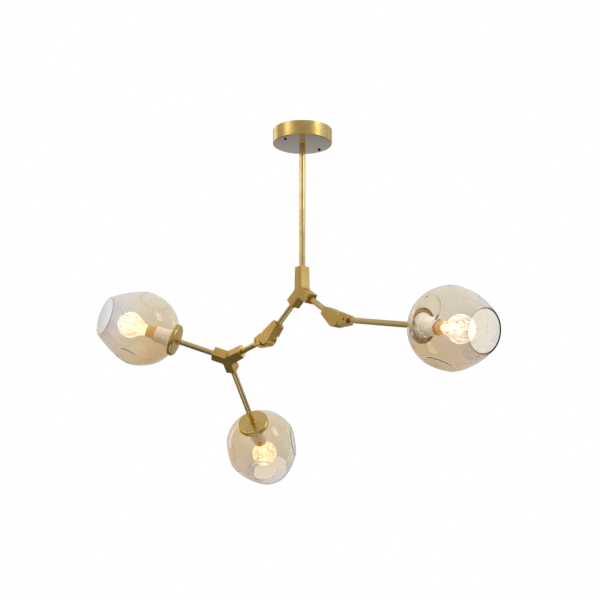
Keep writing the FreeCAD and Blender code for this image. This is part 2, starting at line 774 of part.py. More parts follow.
# ---------------------------------------------------------------- whole object
def build():
    """Every node of the chandelier, by name."""
    layout = Layout()
    nodes = {
        "ceiling_bracket": ceiling_bracket(),
        "canopy_studs": canopy_studs(),
        "canopy": canopy(),
        "canopy_cap_nuts": canopy_cap_nuts(),
        "swivel_nipple": swivel_nipple(),
        "nipple_washer": nipple_washer(),
        "nipple_lock_nut": nipple_lock_nut(),
        "terminal_block": terminal_block(),
        "down_rod": down_rod(layout),
        "upper_hub": placed_hub(layout.upper_hub, UP, layout.arm_a, down_rod_diameter),
        "lower_hub": placed_hub(layout.lower_hub, layout.forearm_a * -1, layout.arm_e,
                                arm_rod_diameter),
        "knuckle_a_inner": knuckle_inner(layout.knuckle_a, layout.arm_a, layout.hinge_a),
        "knuckle_a_outer": knuckle_outer(layout.knuckle_a, layout.forearm_a, layout.hinge_a),
        "knuckle_a_pin": knuckle_pin(layout.knuckle_a, layout.hinge_a, layout.arm_a),
        "knuckle_a_set_screw": set_screw(layout.knuckle_a, layout.forearm_a, layout.hinge_a),
        "knuckle_b_inner": knuckle_inner(layout.knuckle_b, layout.arm_b, layout.hinge_b),
        "knuckle_b_outer": knuckle_outer(layout.knuckle_b, layout.forearm_c, layout.hinge_b),
        "knuckle_b_pin": knuckle_pin(layout.knuckle_b, layout.hinge_b, layout.arm_b),
        "knuckle_b_set_screw": set_screw(layout.knuckle_b, layout.forearm_c, layout.hinge_b),
    }
    end = layout.upper_hub.z + hub_stem_length - socket_depth
    nodes["down_rod_lead"] = tube(lead_diameter, 0, end, nipple_top())
    for name, (origin, axis, start, end) in rod_spans(layout).items():
        nodes[name] = slanted_tube(origin, axis, start, end, arm_rod_diameter, rod_bore)
        nodes[name + "_lead"] = slanted_tube(origin, axis, start, end, lead_diameter, 0)
    pieces = {name: make() for name, make in LAMP_PIECES.items()}
    for lamp, (origin, axis, dimple_turn) in layout.lamps.items():
        for name, piece in pieces.items():
            shape = piece.copy()
            if name == "glass_shade":
                shape.rotate(CENTRE, UP, dimple_turn)
            shape.Placement = frame(origin, axis, any_side(axis)).multiply(shape.Placement)
            nodes[lamp + "_" + name] = shape
    return nodes


os.makedirs("parts", exist_ok=True)
for node_name, node_shape in build().items():
    node_shape.exportStep("parts/" + node_name + ".step")
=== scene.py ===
import math

import bpy
from bpy.props import FloatProperty, IntProperty, PointerProperty, StringProperty
from mathutils import Matrix, Vector


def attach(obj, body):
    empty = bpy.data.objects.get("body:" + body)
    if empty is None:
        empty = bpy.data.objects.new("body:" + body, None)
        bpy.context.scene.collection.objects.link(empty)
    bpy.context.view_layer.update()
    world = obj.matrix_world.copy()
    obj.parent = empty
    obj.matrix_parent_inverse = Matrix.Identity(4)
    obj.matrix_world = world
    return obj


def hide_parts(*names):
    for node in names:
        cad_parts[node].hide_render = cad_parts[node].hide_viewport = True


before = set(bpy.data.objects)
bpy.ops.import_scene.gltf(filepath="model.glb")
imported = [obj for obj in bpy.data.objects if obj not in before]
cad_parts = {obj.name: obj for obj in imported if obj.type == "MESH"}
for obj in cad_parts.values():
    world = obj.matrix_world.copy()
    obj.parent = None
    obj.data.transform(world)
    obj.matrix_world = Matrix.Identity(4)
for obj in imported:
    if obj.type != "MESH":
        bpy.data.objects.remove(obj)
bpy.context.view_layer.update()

bl_info = {
    "name": "Branch Chandelier",
    "version": (1, 0, 0),
    "blender": (4, 5, 0),
    "location": "View3D > Sidebar > Chandelier",
    "description": "Dresses a branching ceiling lamp with gold rods, castings and blown glass shades",
    "category": "Object",
}

MM = 0.001
UP = Vector((0, 0, 1))

# Fixed sizes that several pieces share, in millimetres
NECK_RADIUS = 18.4            # neck of the glass round the lampholder
CAP_EDGE_RADIUS = 30.5        # ring where the glass leaves the cap
CAP_EDGE_AT = 9.0
REAR_FULLNESS = 2.10          # how full each half of the shade is blown, 2 being a ball
FRONT_FULLNESS = 1.35
ROD_HOLE = 5.6                # radius of the hole for a rod in caps, nuts and lampholders
BULB_BASE_RADIUS = 13.2
BULB_BASE_FROM, BULB_BASE_TO = 24.0, 66.0
SEAT_GAP, FACE_GAP = 0.3, 0.25


# ------------------------------ settings
class ChandelierLampSettings(bpy.types.PropertyGroup):
    """Sizes of one lamp, in millimetres from the back of its cap"""
    shade_diameter: FloatProperty(name="Shade diameter", description="Widest part of it", default=150.0)
    shade_length: FloatProperty(name="Shade length", description="Cap back to mouth", default=160.0)
    shade_widest_at: FloatProperty(name="Widest at", description="Distance of the widest ring", default=85.0)
    shade_mouth: FloatProperty(name="Mouth diameter", description="Open end of the glass", default=80.0)
    shade_wall: FloatProperty(name="Wall", description="Thickness of the blown glass", default=2.4)
    dimple_radius: FloatProperty(name="Dimple radius", description="Rim of a pressed hollow", default=31.0)
    dimple_ball: FloatProperty(name="Dimple ball", description="Radius of the pressing tool", default=160.0)
    dimple_at: FloatProperty(name="Dimple height", description="Distance of the hollows", default=84.0)
    dimple_count: IntProperty(name="Dimples", description="Hollows round one shade", default=4)
    cap_diameter: FloatProperty(name="Cap diameter", description="Spun metal cup", default=65.0)
    cap_height: FloatProperty(name="Cap height", description="Depth of the cup", default=9.0)
    bulb_diameter: FloatProperty(name="Bulb diameter", description="Small globe bulb", default=52.0)
    bulb_tip_at: FloatProperty(name="Bulb tip", description="Distance of the bulb's end", default=129.0)


class ChandelierRodSettings(bpy.types.PropertyGroup):
    """Sizes of the rods, in millimetres"""
    down_rod: FloatProperty(name="Down rod", description="Diameter of the upright rod", default=12.0)
    arm_rod: FloatProperty(name="Arm rod", description="Diameter of the branch rods", default=11.0)
    bore: FloatProperty(name="Bore", description="Wire way through each branch rod", default=7.0)
    down_bore: FloatProperty(name="Down rod bore", description="Fits round the nipple", default=10.0)


class ChandelierFinishSettings(bpy.types.PropertyGroup):
    """Main colours as sRGB hex, with the deeper tone of each gold"""
    rod_gold: StringProperty(name="Rod gold", description="Drawn tubes", default="#EACE8C")
    rod_deep: StringProperty(name="Rod deep", description="Deeper tone of the tubes", default="#DEBE78")
    casting_gold: StringProperty(name="Casting gold", description="Hubs and knuckles", default="#E6BF6E")
    casting_deep: StringProperty(name="Casting deep", description="Deeper tone of them", default="#D8AE5C")
    cap_gold: StringProperty(name="Cap gold", description="Spun cups", default="#E6C67C")
    cap_deep: StringProperty(name="Cap deep", description="Deeper tone of the cups", default="#D8B468")
    canopy_gold: StringProperty(name="Canopy gold", description="Brushed side", default="#E0C37A")
    canopy_deep: StringProperty(name="Canopy deep", description="Deeper tone of the side", default="#D2B166")
    canopy_face: StringProperty(name="Canopy face", description="Polished face", default="#F2E4D8")
    glass_amber: StringProperty(name="Glass amber", description="Tint near the neck", default="#E1D1B6")
    glass_smoke: StringProperty(name="Glass smoke", description="Tint near the mouth", default="#E5E3E7")
    holder_white: StringProperty(name="Holder white", description="Moulded lampholders", default="#FBFBFF")


class ChandelierStageSettings(bpy.types.PropertyGroup):
    """Camera and lights"""
    lens: FloatProperty(name="Lens", description="Focal length", default=102.35, unit="CAMERA")
    key_power: FloatProperty(name="Key power", description="Front right", default=11.0, unit="POWER")
    window_power: FloatProperty(name="Window power", description="Front left", default=5.0, unit="POWER")
    strip_power: FloatProperty(name="Strip power", description="Each side", default=4.0, unit="POWER")


# ------------------------------ layout
def direction(azimuth, elevation):
    """Unit vector from an azimuth about Z and an elevation, in degrees."""
    a, e = math.radians(azimuth), math.radians(elevation)
    return Vector((math.cos(e) * math.cos(a), math.cos(e) * math.sin(a), math.sin(e)))


def placement(origin_mm, z_axis, x_axis):
    """Matrix whose Z is z_axis and whose X lies as near x_axis as it can."""
    z = z_axis.normalized()
    x = (x_axis - z * z.dot(x_axis)).normalized()
    y = z.cross(x)
    o = origin_mm * MM
    return Matrix(((x.x, y.x, z.x, o.x), (x.y, y.y, z.y, o.y), (x.z, y.z, z.z, o.z), (0, 0, 0, 1)))


class Layout:
    """Where the branches run, in millimetres and degrees."""
    fork = 107.3        # between the two legs of a hub
    hub_stem, hub_leg, lug_end = 49.0, 33.0, 37.0        # from a casting's centre to its ends
    socket = 14.0        # how deep a rod goes into a casting
    upper_arm, forearm_a_length, forearm_c_length = 121.5, 137.7, 221.5
    arm_e_length, arm_f_length = 111.3, 196.0
    rod_end_in_lamp = 7.0
    canopy_height = 29.0
    upper_hub_height = -327.0
    arm_a_azimuth, arm_b_azimuth = 131.1, 311.1
    forearm_a_way, forearm_c_way = (126.9, -7.2), (-49.0, -13.7)        # azimuth, elevation
    lower_hub_roll = -58.3

    def __init__(self):
        drop = self.fork / 2 - 90
        half = math.radians(self.fork / 2)
        self.upper_hub = Vector((0, 0, self.upper_hub_height))
        self.arm_a, self.arm_b = direction(self.arm_a_azimuth, drop), direction(self.arm_b_azimuth, drop)
        self.knuckle_a = self.upper_hub + self.arm_a * self.upper_arm
        self.knuckle_b = self.upper_hub + self.arm_b * self.upper_arm
        self.forearm_a, self.forearm_c = direction(*self.forearm_a_way), direction(*self.forearm_c_way)
        self.lower_hub = self.knuckle_a + self.forearm_a * self.forearm_a_length
        side = self.forearm_a.cross(UP).normalized()
        raised = side.cross(self.forearm_a)
        roll = math.radians(self.lower_hub_roll)
        spread = side * math.sin(roll) + raised * math.cos(roll)
        self.arm_e = self.forearm_a * math.cos(half) + spread * math.sin(half)
        self.arm_f = self.forearm_a * math.cos(half) - spread * math.sin(half)

    def rods(self):
        """Name, body, origin, direction, start and end of each branch rod."""
        leg = self.hub_leg - self.socket
        stem = self.hub_stem - self.socket
        lug = self.lug_end - self.socket
        end = self.rod_end_in_lamp
        return (
            ("arm_rod_a", "arm_a", self.upper_hub, self.arm_a, leg, self.upper_arm - lug),
            ("arm_rod_b", "arm_b", self.upper_hub, self.arm_b, leg, self.upper_arm - lug),
            ("forearm_rod_c", "forearm_b", self.knuckle_b, self.forearm_c, lug, self.forearm_c_length + end),
            ("forearm_rod_d", "forearm_a", self.knuckle_a, self.forearm_a, lug, self.forearm_a_length - stem),
            ("lamp_rod_e", "lower_cluster", self.lower_hub, self.arm_e, leg, self.arm_e_length + end),
            ("lamp_rod_f", "lower_cluster", self.lower_hub, self.arm_f, leg, self.arm_f_length + end),
        )

    def lamps(self):
        """Name, body, placement and turn of the dimples of each lamp."""
        left = self.lower_hub + self.arm_e * self.arm_e_length
        bottom = self.lower_hub + self.arm_f * self.arm_f_length
        right = self.knuckle_b + self.forearm_c * self.forearm_c_length
        lamps = (
            ("left", "lower_cluster", left, self.arm_e, 15.0),
            ("bottom", "lower_cluster", bottom, self.arm_f, 80.0),
            ("right", "forearm_b", right, self.forearm_c, 75.0))
        return [(name, body, placement(origin, axis, axis.cross(UP)), turn)
                for name, body, origin, axis, turn in lamps]


# ------------------------------ mesh helpers
def add_object(name, data):
    """New object of the scene."""
    item = bpy.data.objects.new(name, data)
    bpy.context.scene.collection.objects.link(item)
    return item


def make_object(name, points, faces, matrix, sharp=35.0):
    """Mesh object set in place from its own points in millimetres, smooth apart from its sharp edges.
    The attribute called place keeps each point's position before it was set, for the materials."""
    mesh = bpy.data.meshes.new(name)
    mesh.from_pydata([[c * MM for c in p] for p in points], [], faces)
    mesh.validate()
    place = mesh.attributes.new("place", "FLOAT_VECTOR", "POINT")
    place.data.foreach_set("vector", [c * MM for p in points for c in p])
    mesh.transform(matrix)
    mesh.shade_smooth()
    mesh.set_sharp_from_angle(angle=math.radians(sharp))
    return add_object(name, mesh)


def lathe(profile, segments):
    """Points and faces of a closed profile of (radius, height) turned about Z; radius 0 makes a pole."""
    points, rings, faces = [], [], []
    for radius, height in profile:
        if radius < 1e-6:
            rings.append([len(points)] * segments)
            points.append((0, 0, height))
            continue
        rings.append([len(points) + i for i in range(segments)])
        for i in range(segments):
            a = 2 * math.pi * i / segments
            points.append((radius * math.cos(a), radius * math.sin(a), height))
    for j in range(len(rings)):
        low, high = rings[j], rings[(j + 1) % len(rings)]
        if low[0] == low[1] and high[0] == high[1]:
            continue
        for i in range(segments):
            n = (i + 1) % segments
            corners = [low[i], low[n], high[n], high[i]]
            faces.append([c for k, c in enumerate(corners) if c != corners[k - 1]])
    return points, faces


def rounded(corners, radius, steps=4):
    """Closed profile with each corner rounded by up to the given radius."""
    most_of_side, pole, smallest = 0.45, 0.01, 0.02
    out = []
    count = len(corners)
    for i in range(count):
        p = Vector(corners[i])
        a, b = Vector(corners[i - 1]) - p, Vector(corners[(i + 1) % count]) - p
        r = min(radius, a.length * most_of_side, b.length * most_of_side)
        if p.x < pole or r < smallest:
            out.append(tuple(p))
            continue
        p0, p1 = p + a.normalized() * r, p + b.normalized() * r
        for k in range(steps + 1):
            t = k / steps
            q = p0 * (1 - t) ** 2 + p * 2 * t * (1 - t) + p1 * t * t
            out.append((max(q.x, 0.0), q.y))
    return out


def quarter_turn(steps=8):
    """Angles round a quarter circle, without its start."""
    return [math.pi / 2 * k / steps for k in range(1, steps + 1)]


def spun(name, profile, matrix, segments, sharp=40.0):
    """Turned piece from its closed profile."""
    points, faces = lathe(profile, segments)
    return make_object(name, points, faces, matrix, sharp)


def turned(name, corners, matrix, radius, segments=96):
    """Turned piece from the corners of its closed profile, rounded by the radius."""
    return spun(name, rounded(corners, radius), matrix, segments, 35.0)


# ------------------------------ materials
def linear(hex_colour):
    """Linear RGBA from an sRGB hex colour."""
    out = []
    for i in (1, 3, 5):
        c = int(hex_colour[i:i + 2], 16) / 255
        out.append(c / 12.92 if c <= 0.04045 else ((c + 0.055) / 1.055) ** 2.4)
    return (*out, 1.0)


def node(tree, kind, inputs=None, stops=(), **settings):
    """Add a shader node, set its properties, fill or link its inputs, and place its colour stops."""
    new = tree.nodes.new(kind)
    for key, value in settings.items():
        setattr(new, key, value)
    for key, value in (inputs or {}).items():
        if isinstance(value, bpy.types.NodeSocket):
            tree.links.new(value, new.inputs[key])
        else:
            new.inputs[key].default_value = value
    if stops:
        elements = new.color_ramp.elements
        elements[0].position, elements[0].color = stops[0]
        elements[1].position, elements[1].color = stops[-1]
        for position, colour in stops[1:-1]:
            elements.new(position).color = colour
    return new


def grey(value):
    """Grey colour with full alpha."""
    return (value, value, value, 1.0)


def start_material(name):
    """New node material with its Principled shader linked to the output."""
    material = bpy.data.materials.new(name)
    material.use_nodes = True
    tree = material.node_tree
    tree.nodes.clear()
    shader = node(tree, "ShaderNodeBsdfPrincipled")
    node(tree, "ShaderNodeOutputMaterial", {"Surface": shader.outputs["BSDF"]})
    return material, tree, shader


def own_place(tree):
    """Position on the piece before it was set in place."""
    return node(tree, "ShaderNodeAttribute", attribute_name="place").outputs["Vector"]


def stretched_noise(tree, size_mm, stretch, built=True):
    """Noise on the piece, one grain size_mm wide and drawn out by stretch per axis. Only a piece built
    here has the attribute called place; other materials use the object's coordinates."""
    place = own_place(tree) if built else node(tree, "ShaderNodeTexCoord").outputs["Object"]
    mapping = node(tree, "ShaderNodeMapping", {
        "Vector": place,
        "Scale": tuple(1.0 / (size_mm * MM * s) for s in stretch)})
    noise = node(tree, "ShaderNodeTexNoise", {
        "Vector": mapping.outputs["Vector"], "Scale": 1.0, "Detail": 3.0})
    return noise.outputs["Fac"]


def finish():
    """The colours that the panel shows."""
    return bpy.context.scene.chandelier_finish


def brushed_gold(name, colour, shade, stretch, rough=(0.2, 0.3), size_mm=0.5, lift=0.006, built=True):
    """Gold plating over brushed metal: fine lines change the gloss, and a wider drift warms the tone."""
    drift_mm = 28.0
    material, tree, shader = start_material(name)
    lines = stretched_noise(tree, size_mm, stretch, built)
    drift = stretched_noise(tree, drift_mm, (1, 1, 1), built)
    tone = node(tree, "ShaderNodeValToRGB", {"Fac": drift}, [(0.35, linear(shade)), (0.65, linear(colour))])
    gloss = node(tree, "ShaderNodeMapRange", {"Value": lines, "To Min": rough[0], "To Max": rough[1]})
    tree.links.new(tone.outputs["Color"], shader.inputs["Base Color"])
    tree.links.new(gloss.outputs["Result"], shader.inputs["Roughness"])
    if lift:
        relief = node(tree, "ShaderNodeBump", {"Height": lines, "Strength": 0.25, "Distance": lift * MM})
        tree.links.new(relief.outputs["Normal"], shader.inputs["Normal"])
    shader.inputs["Metallic"].default_value = 1.0
    return material


def canopy_gold():
    """Brushed gold side with level lines, and a face polished to a dull mirror."""
    colours = finish()
    material = brushed_gold(
        "gold_brushed_side_polished_face", colours.canopy_gold, colours.canopy_deep, (60, 60, 1),
        (0.28, 0.4), 1.2, 0.03)
    tree = material.node_tree
    shader = next(n for n in tree.nodes if n.type == "BSDF_PRINCIPLED")
    # The face looks down and the side outward
    facing = node(tree, "ShaderNodeSeparateXYZ", {
        "Vector": node(tree, "ShaderNodeTexCoord").outputs["Normal"]})
    face = node(tree, "ShaderNodeMapRange", {
        "Value": facing.outputs["Z"], "From Min": -0.9, "From Max": -0.98})
    tone = shader.inputs["Base Color"].links[0].from_socket
    gloss = shader.inputs["Roughness"].links[0].from_socket
    mix = node(tree, "ShaderNodeMix", {
        "Factor": face.outputs["Result"], "A": tone, "B": linear(colours.canopy_face)}, data_type="RGBA")
    tree.links.new(mix.outputs["Result"], shader.inputs["Base Color"])
    smooth = node(tree, "ShaderNodeMix", {
        "Factor": face.outputs["Result"], "A": gloss, "B": 0.12}, data_type="FLOAT")
    tree.links.new(smooth.outputs["Result"], shader.inputs["Roughness"])
    return material


def shade_glass():
    """Blown glass, light amber round the neck and clear smoke grey at the mouth, with a painted shade ring on
    the lip and painted shade lines and painted reflections where a dimple folds it. The attribute called sky
    tells how far a side faces up, for painted light and shade, and depth how deep it lies in the nearest
    dimple's ball, in millimetres."""
    painted_streak_rate, painted_streak_reach, fold_width = 2.2, 7.0, 1.0        # radians per mm, then mm of depth
    length = bpy.context.scene.chandelier_lamp.shade_length
    colours = finish()
    material, tree, shader = start_material("blown_glass_amber_to_smoke")
    place = node(tree, "ShaderNodeSeparateXYZ", {"Vector": own_place(tree)})
    along = node(tree, "ShaderNodeMapRange", {
        "Value": place.outputs["Z"], "From Min": 0.0, "From Max": length * MM})
    # From the cap to the mouth, where the thick lip shows as a dark ring of painted shade
    tint = node(tree, "ShaderNodeValToRGB", {"Fac": along.outputs["Result"]}, [
        (0.02, linear("#E3D3B4")), (0.25, linear(colours.glass_amber)), (0.52, linear("#EAE2CD")),
        (0.85, linear(colours.glass_smoke)), (0.985, linear("#D0CED2")), (1.0, linear("#8F8D91"))]
    ).outputs["Color"]
    sky = node(tree, "ShaderNodeAttribute", attribute_name="sky").outputs["Fac"]
    # Painted light makes the side paler where it faces up, and a painted warm reflection makes it more amber
    # where it faces down
    for colour, end, most in (("#F5F1EA", 0.9, 0.6), ("#DCBE96", -0.9, 0.35)):
        side = node(tree, "ShaderNodeMapRange", {
            "Value": sky, "From Min": 0.0, "From Max": end, "To Max": most})
        tint = node(tree, "ShaderNodeMix", {
            "Factor": side.outputs["Result"], "A": tint, "B": linear(colour)},
            data_type="RGBA").outputs["Result"]
    depth = node(tree, "ShaderNodeAttribute", attribute_name="depth").outputs["Fac"]
    away = node(tree, "ShaderNodeMath", {0: depth}, operation="ABSOLUTE").outputs["Value"]
    painted_streak_phase = node(tree, "ShaderNodeMath", {0: depth, 1: painted_streak_rate}, operation="MULTIPLY").outputs["Value"]
    wave = node(tree, "ShaderNodeMath", {0: painted_streak_phase}, operation="SINE").outputs["Value"]
    broken = node(tree, "ShaderNodeMapRange", {
        "Value": stretched_noise(tree, 26.0, (1, 1, 1)), "From Min": 0.44, "From Max": 0.6}).outputs["Result"]
    # Painted reflections on both sides of the fold, amber ones of the bulb and cap and white painted
    # highlights, and a painted shade line on the fold itself
    for colour, value, start, end, reach, most in (
            ("#BC915C", wave, -0.1, -1.0, painted_streak_reach, 0.5), ("#FFFEFA", wave, 0.1, 1.0, painted_streak_reach, 0.7),
            ("#8E7C66", away, 0.9, 0.0, fold_width, 0.85)):
        band = node(tree, "ShaderNodeMapRange", {
            "Value": value, "From Min": start, "From Max": end, "To Max": most}).outputs["Result"]
        fade = node(tree, "ShaderNodeMapRange", {
            "Value": away, "From Min": reach, "From Max": 0.0}).outputs["Result"]
        part = node(tree, "ShaderNodeMath", {0: band, 1: fade}, operation="MULTIPLY").outputs["Value"]
        line = node(tree, "ShaderNodeMath", {0: part, 1: broken}, operation="MULTIPLY")
        tint = node(tree, "ShaderNodeMix", {
            "Factor": line.outputs["Value"], "A": tint, "B": linear(colour)},
            data_type="RGBA").outputs["Result"]
    waver = stretched_noise(tree, 30.0, (1, 1, 1.6))
    relief = node(tree, "ShaderNodeBump", {"Height": waver, "Strength": 0.1, "Distance": 0.4 * MM})
    tree.links.new(tint, shader.inputs["Base Color"])
    tree.links.new(relief.outputs["Normal"], shader.inputs["Normal"])
    shader.inputs["Roughness"].default_value = 0.02
    shader.inputs["IOR"].default_value = 1.46
    shader.inputs["Transmission Weight"].default_value = 1.0
    return material


def bulb_glass_material():
    """Thin clear lamp glass in which the lit filaments throw soft, uneven streaks of warm light."""
    material, tree, shader = start_material("thin_bulb_glass_warm")
    drift = stretched_noise(tree, 5.0, (1, 1, 6))
    tint = node(tree, "ShaderNodeValToRGB", {"Fac": drift}, [
        (0.3, linear("#FFF8EC")), (0.7, linear("#FFFDF8"))])
    glow = node(tree, "ShaderNodeMapRange", {
        "Value": drift, "From Min": 0.36, "From Max": 0.70, "To Min": 0.04, "To Max": 0.36})
    tree.links.new(glow.outputs["Result"], shader.inputs["Emission Strength"])
    tree.links.new(tint.outputs["Color"], shader.inputs["Base Color"])
    shader.inputs["Roughness"].default_value = 0.05
    shader.inputs["IOR"].default_value = 1.4
    shader.inputs["Transmission Weight"].default_value = 1.0
    shader.inputs["Emission Color"].default_value = linear("#FFF9EC")
    return material


def filament_material():
    """Phosphor on the filament sticks, giving a warm and slightly uneven light."""
    material, tree, shader = start_material("warm_phosphor_filament")
    grain = stretched_noise(tree, 1.2, (1, 1, 3))
    tone = node(tree, "ShaderNodeValToRGB", {"Fac": grain}, [
        (0.3, linear("#FFE2AE")), (0.7, linear("#FFF3DC"))])
    tree.links.new(tone.outputs["Color"], shader.inputs["Base Color"])
    tree.links.new(tone.outputs["Color"], shader.inputs["Emission Color"])
    shader.inputs["Roughness"].default_value = 0.6
    shader.inputs["Emission Strength"].default_value = 1.6
    return material


def plain(name, colour, shade, metallic, rough, size_mm, coat=0.0, glow=0.0):
    """Material with small variation in tone, gloss and relief at a stated grain. Glow is the bulb's warm
    light on what stands round it, weaker on what faces down."""
    material, tree, shader = start_material(name)
    grain = stretched_noise(tree, size_mm, (1, 1, 1), built=False)
    tone = node(tree, "ShaderNodeValToRGB", {"Fac": grain}, [(0.3, linear(shade)), (0.7, linear(colour))])
    gloss = node(tree, "ShaderNodeMapRange", {"Value": grain, "To Min": rough[0], "To Max": rough[1]})
    relief = node(tree, "ShaderNodeBump", {"Height": grain, "Strength": 0.3, "Distance": 0.02 * MM})
    tree.links.new(tone.outputs["Color"], shader.inputs["Base Color"])
    tree.links.new(gloss.outputs["Result"], shader.inputs["Roughness"])
    tree.links.new(relief.outputs["Normal"], shader.inputs["Normal"])
    shader.inputs["Metallic"].default_value = metallic
    shader.inputs["Coat Weight"].default_value = coat
    # Painted light: the bulb's glow on the piece, with painted shade where it faces down
    tree.links.new(tone.outputs["Color"], shader.inputs["Emission Color"])
    upward = node(tree, "ShaderNodeSeparateXYZ", {
        "Vector": node(tree, "ShaderNodeNewGeometry").outputs["Normal"]}).outputs["Z"]
    strength = node(tree, "ShaderNodeMapRange", {
        "Value": upward, "From Min": -0.8, "From Max": 0.5, "To Min": glow * 0.1, "To Max": glow})
    tree.links.new(strength.outputs["Result"], shader.inputs["Emission Strength"])
    return material


MATERIALS = {
    # Satin gold drawn along the rod, so the highlight runs its whole length
    "rod": lambda: brushed_gold(
        "gold_satin_drawn_tube", finish().rod_gold, finish().rod_deep, (1, 1, 60), (0.14, 0.22)),
    # Satin gold over a smooth casting, even in every direction
    "casting": lambda: brushed_gold(
        "gold_satin_zinc_casting", finish().casting_gold, finish().casting_deep, (1, 1, 1), (0.26, 0.32),
        2.0, 0.0, built=False),
    # Spun gold with lines round the cup
    "cap": lambda: brushed_gold(
        "gold_satin_spun_cup", finish().cap_gold, finish().cap_deep, (20, 20, 1), (0.2, 0.32)),
    # Spun gold canopy, brushed round its side and polished on its face
    "canopy": canopy_gold,
    # Blown glass with a wavering surface, so what stands behind it bends softly
    "shade": shade_glass,
    # Thin clear bulb glass, bright from the light inside
    "bulb_glass": bulb_glass_material,
    # Phosphor sticks, the warmest and brightest thing in the lamp
    "filament": filament_material,
    # Blackened steel of the small screws, nearly matt
    "dark_steel": lambda: plain("steel_blackened", "#62584C", "#4A4238", 0.8, (0.4, 0.55), 0.6),
    # Dull zinc plating of what the canopy hides
    "steel": lambda: plain("steel_zinc_plated", "#B9BBBD", "#A2A4A6", 1.0, (0.3, 0.45), 2.0),
    # Moulded white lampholder with a soft sheen, and painted light of the bulb glowing on it
    "holder": lambda: plain(
        "thermoplastic_white_moulded", finish().holder_white, "#F3F2F4", 0.0, (0.15, 0.25), 1.2,
        coat=0.6, glow=0.62),
    # Lacquered screw shell, a warm metal ring round the bulb's base, with painted light of the bulb glowing
    # on it
    "collar": lambda: plain(
        "brass_screw_shell_lacquered", "#EDAE4E", "#D8923A", 1.0, (0.22, 0.34), 0.8, glow=0.3),
    # Rolled aluminium thread of the bulb, with painted light of the bulb glowing on it
    "bulb_base": lambda: plain(
        "aluminium_rolled_screw_base", "#F0D59C", "#E0BF80", 1.0, (0.15, 0.25), 0.8, glow=0.2),
    # Cable sheath, matt with a faint grain
    "wire": lambda: plain("pvc_cable_sheath", "#EDE7DA", "#E0D9CA", 0.0, (0.5, 0.62), 0.8),
    # Moulded terminal block, matt white
    "terminal": lambda: plain("polyamide_terminal_block", "#F1EFE8", "#E4E1D8", 0.0, (0.4, 0.5), 1.0),
}
_made = {}


def material_of(key):
    """The named material, made once."""
    if key not in _made:
        _made[key] = MATERIALS[key]()
    return _made[key]


def dress(piece, material, slot, body, *nodes):
    """Give a piece its material, let it ride a body and stand for CAD nodes. The slot is not used."""
    piece.data.materials.clear()
    piece.data.materials.append(material_of(material))
    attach(piece, body)
    if nodes:
        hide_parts(*nodes)
    return piece


def dress_node(name, material):
    """Give a CAD node that stays in view its material."""
    node_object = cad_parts[name]
    if not node_object.material_slots:
        node_object.data.materials.append(None)
    for held in node_object.material_slots:
        held.link = "OBJECT"
        held.material = material_of(material)


# ------------------------------ lamp shapes
def shade_radius(s, along):
    """Radius of the blown shade at a distance along its axis."""
    widest = s.shade_diameter / 2
    if along < s.shade_widest_at:
        power, edge, edge_at = REAR_FULLNESS, CAP_EDGE_RADIUS, CAP_EDGE_AT
    else:
        power, edge, edge_at = FRONT_FULLNESS, s.shade_mouth / 2, s.shade_length
    reach = abs(edge_at - s.shade_widest_at) / (1 - (edge / widest) ** power) ** (1 / power)
    share = min(abs(along - s.shade_widest_at) / reach, 1.0)
    return widest * (1 - share ** power) ** (1 / power)


def shade_back(s, radius):
    """Distance along the axis where the back of the shade has this radius."""
    widest = s.shade_diameter / 2
    power = REAR_FULLNESS
    reach = (s.shade_widest_at - CAP_EDGE_AT) / (1 - (CAP_EDGE_RADIUS / widest) ** power) ** (1 / power)
    return s.shade_widest_at - reach * (1 - (radius / widest) ** power) ** (1 / power)


def shade_outline(s):
    """Outer profile from the neck to the mouth, stepped by radius on the back and by distance beyond."""
    back_radius, back_steps, side_steps, front_steps = 62.0, 30, 20, 42
    start, widest, end = shade_back(s, back_radius), s.shade_widest_at, s.shade_length
    radii = [NECK_RADIUS + (back_radius - NECK_RADIUS) * i / back_steps for i in range(back_steps + 1)]
    side = [start + (widest - start) * i / side_steps for i in range(1, side_steps + 1)]
    front = [widest + (end - widest) * i / front_steps for i in range(1, front_steps + 1)]
    return [(r, shade_back(s, r)) for r in radii] + [(shade_radius(s, a), a) for a in side + front]


def press(points, s, grow):
    """Push points out of the balls that press the dimples, with a soft rim. The depth of each point in
    its nearest ball is returned too."""
    widest = shade_radius(s, s.dimple_at)
    sunk = widest - math.sqrt(widest ** 2 - s.dimple_radius ** 2)
    ball = s.dimple_ball - math.sqrt(s.dimple_ball ** 2 - s.dimple_radius ** 2)
    out = widest - sunk - ball + s.dimple_ball
    radius = s.dimple_ball + grow
    centres = [Vector((out * math.cos(a), out * math.sin(a), s.dimple_at)) for a in (
        2 * math.pi * i / s.dimple_count for i in range(s.dimple_count))]
    rim_reach, rim_softness, clearance = 6.0, 0.5, 0.02
    moved, depths = [], []
    for p in points:
        q = Vector(p)
        depth = -math.inf
        for c in centres:
            away = q - c
            inside = radius - away.length
            depth = max(depth, inside)
            if inside > -rim_reach:
                soft = (inside + math.sqrt(inside * inside + rim_softness)) / 2
                q = q + away.normalized() * (soft - clearance * min(1.0, soft))
        moved.append(tuple(q))
        depths.append(depth)
    return moved, depths


